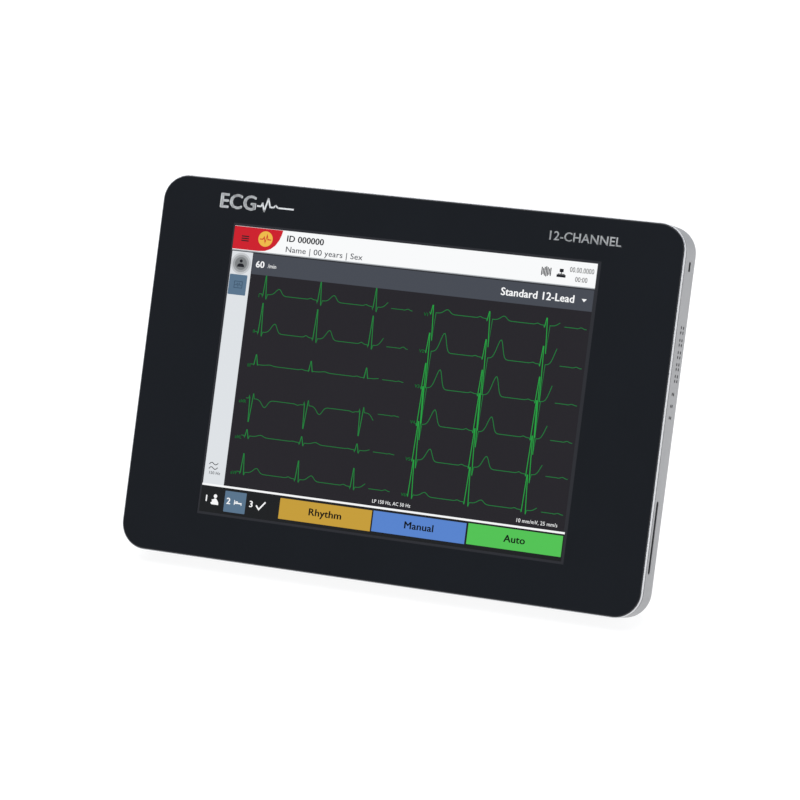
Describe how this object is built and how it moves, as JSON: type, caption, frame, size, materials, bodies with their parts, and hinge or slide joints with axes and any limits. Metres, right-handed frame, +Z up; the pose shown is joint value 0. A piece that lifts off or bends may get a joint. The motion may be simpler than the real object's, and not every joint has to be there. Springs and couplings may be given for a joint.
{
  "type": "electrocardiograph",
  "caption": "Tablet-style electrocardiograph: glass front with a display, silver case, strip printer behind a rear door, battery and fold-out stand.",
  "frame": {"origin": "centre of the footprint, on the surface that the feet and the stand rest on", "axes": "+X to the viewer's right along the screen's width, +Y to the back, +Z up; the screen leans back 20 degrees"},
  "size_m": [0.232, 0.0812, 0.157],
  "materials": {
    "black_glass": "polished, black printed border, opaque",
    "bezel_metal": "satin silver with a bright edge",
    "display": "flat panel display, lit",
    "silver_paint": "fine satin silver grey paint",
    "aluminium": "milled, matt",
    "steel": "plated",
    "connector_shell": "nickel plated",
    "circuit_board": "green solder mask",
    "dark_plastic": "fine moulded texture",
    "grey_plastic": "satin moulded",
    "white_plastic": "moulded acetal",
    "brass": "machined",
    "rubber": "matt",
    "chart_paper": "coated thermal chart paper"
  },
  "bodies": {
    "case": {"battery_connector": "dark_plastic", "bottom_foot_left": "rubber", "bottom_foot_right": "rubber", "capacitor": "dark_plastic", "card_socket": "steel", "case_screw_1": "steel", "case_screw_2": "steel", "case_screw_3": "steel", "case_screw_4": "steel", "chassis_plate": "aluminium", "chassis_screw_1": "steel", "chassis_screw_2": "steel", "chassis_screw_3": "steel", "chassis_screw_4": "steel", "cover_glass": "black_glass", "dc_inlet": "dark_plastic", "display_module": "display", "ecg_shield_can": "steel", "front_bezel": "bezel_metal", "gear_bracket": "steel", "head_spring_1": "steel", "head_spring_2": "steel", "heat_sink": "aluminium", "main_board": "circuit_board", "network_socket": "steel", "paper_feed_motor": "steel", "paper_pack": "chart_paper", "paper_tray": "dark_plastic", "patient_connector": "connector_shell", "power_board": "circuit_board", "power_switch": "dark_plastic", "power_transformer": "dark_plastic", "print_head_bracket": "steel", "printer_door_pin": "steel", "processor_module": "dark_plastic", "rear_foot_1": "rubber", "rear_foot_2": "rubber", "rear_foot_3": "rubber", "rear_housing": "silver_paint", "service_port": "dark_plastic", "speaker": "dark_plastic", "stand_pin_left": "steel", "stand_pin_right": "steel", "tear_bar": "steel", "thermal_print_head": "aluminium", "usb_socket_1": "steel", "usb_socket_2": "steel"},
    "power_key": {"power_button": "grey_plastic"},
    "printer_door": {"printer_door": "silver_paint"},
    "door_latch": {"printer_door_latch": "dark_plastic"},
    "platen": {"platen_roller": "rubber", "platen_shaft": "steel", "platen_gear": "white_plastic"},
    "idler": {"idler_gear": "white_plastic"},
    "motor_shaft": {"motor_pinion": "brass"},
    "battery": {"battery_pack": "dark_plastic", "battery_cover": "silver_paint"},
    "battery_lock": {"battery_latch": "dark_plastic"},
    "stand": {"rear_stand": "silver_paint", "stand_foot_strip": "rubber"}
  },
  "joints": [
    {"name": "stand_fold", "type": "hinge", "parent": "case", "child": "stand", "pos_m": [0, 0.00775, 0.0465], "axis": [1, 0, 0], "range_deg": [-52, 0]},
    {"name": "printer_door_swing", "type": "hinge", "parent": "case", "child": "printer_door", "pos_m": [-0.02, 0.02298, 0.09098], "axis": [0, -0.342, -0.9397], "range_deg": [0, 95]},
    {"name": "door_latch_slide", "type": "slide", "parent": "printer_door", "child": "door_latch", "axis": [0, -0.342, -0.9397], "range_m": [0, 0.003]},
    {"name": "platen_spin", "type": "hinge", "parent": "printer_door", "child": "platen", "pos_m": [-0.099, 0.0164, 0.09337], "axis": [0, 0.342, 0.9397], "continuous": true},
    {"name": "idler_spin", "type": "hinge", "parent": "case", "child": "idler", "pos_m": [-0.08645, -0.00165, 0.05796], "axis": [0, 0.342, 0.9397], "continuous": true},
    {"name": "motor_spin", "type": "hinge", "parent": "case", "child": "motor_shaft", "pos_m": [-0.07645, -0.00165, 0.05796], "axis": [0, 0.342, 0.9397], "continuous": true},
    {"name": "battery_slide", "type": "slide", "parent": "case", "child": "battery", "axis": [0, 0.9397, -0.342], "range_m": [0, 0.04]},
    {"name": "battery_latch_slide", "type": "slide", "parent": "case", "child": "battery_lock", "axis": [1, 0, 0], "range_m": [0, 0.003]},
    {"name": "power_press", "type": "slide", "parent": "case", "child": "power_key", "axis": [0, -0.342, -0.9397], "range_m": [0, 0.0006], "stiffness_N_per_m": 600}
  ],
  "couplings": [
    {"joint": "idler_spin", "follows": "platen_spin", "ratio": -0.8},
    {"joint": "motor_spin", "follows": "platen_spin", "ratio": 2.4}
  ]
}
